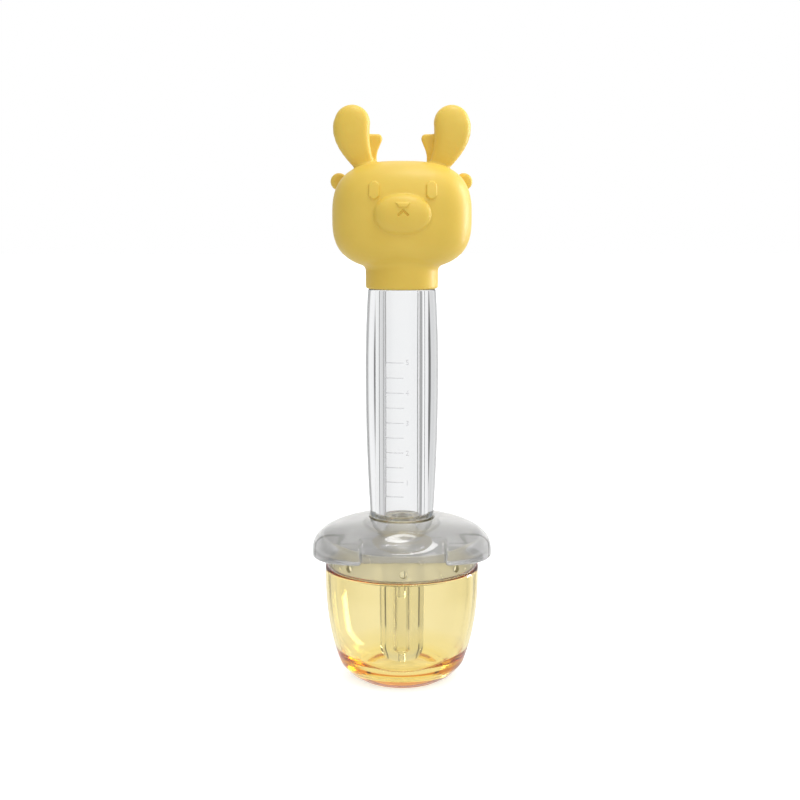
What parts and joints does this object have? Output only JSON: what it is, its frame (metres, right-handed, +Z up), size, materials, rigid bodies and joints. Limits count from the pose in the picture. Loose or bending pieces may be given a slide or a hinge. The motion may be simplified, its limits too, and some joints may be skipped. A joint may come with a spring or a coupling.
{
  "type": "medicine dropper",
  "caption": "Upright dropper with a deer-head squeeze bulb, a clear graduated barrel, a shielded teat and a small amber cup that serves as cap and stand.",
  "frame": {"origin": "centre of the foot of the cup, on the surface that it stands on", "axes": "+Z up along the barrel, -Y the way the face of the bulb looks, +X to the right of a person who looks at the face"},
  "size_m": [0.0584, 0.0516, 0.1847],
  "materials": {
    "yellow_silicone": "smooth moulded silicone, soft satin sheen",
    "clear_plastic": "clear polished plastic with a thick wall",
    "scale_relief": "raised lines in the clear wall",
    "clear_silicone": "translucent silicone, slightly milky",
    "grey_silicone": "translucent grey silicone, glossy",
    "pale_plastic": "translucent pale plastic",
    "amber_plastic": "transparent pale amber plastic, darker where it is thick"
  },
  "bodies": {
    "cup": {"cup": "amber_plastic"},
    "mouthpiece": {"vent_ring": "pale_plastic", "shield": "grey_silicone", "teat": "clear_silicone", "cup_seal": "clear_silicone"},
    "barrel": {"barrel": "clear_plastic", "nozzle": "clear_plastic", "scale_lines": "scale_relief", "scale_numerals": "scale_relief"},
    "bulb": {"bulb": "yellow_silicone"}
  },
  "joints": [
    {"name": "mouthpiece_lift", "type": "slide", "parent": "cup", "child": "mouthpiece", "axis": [0, 0, 1], "range_m": [0, 0.045]},
    {"name": "barrel_lift", "type": "slide", "parent": "mouthpiece", "child": "barrel", "axis": [0, 0, 1], "range_m": [0, 0.035]},
    {"name": "bulb_lift", "type": "slide", "parent": "barrel", "child": "bulb", "axis": [0, 0, 1], "range_m": [0, 0.015]}
  ]
}
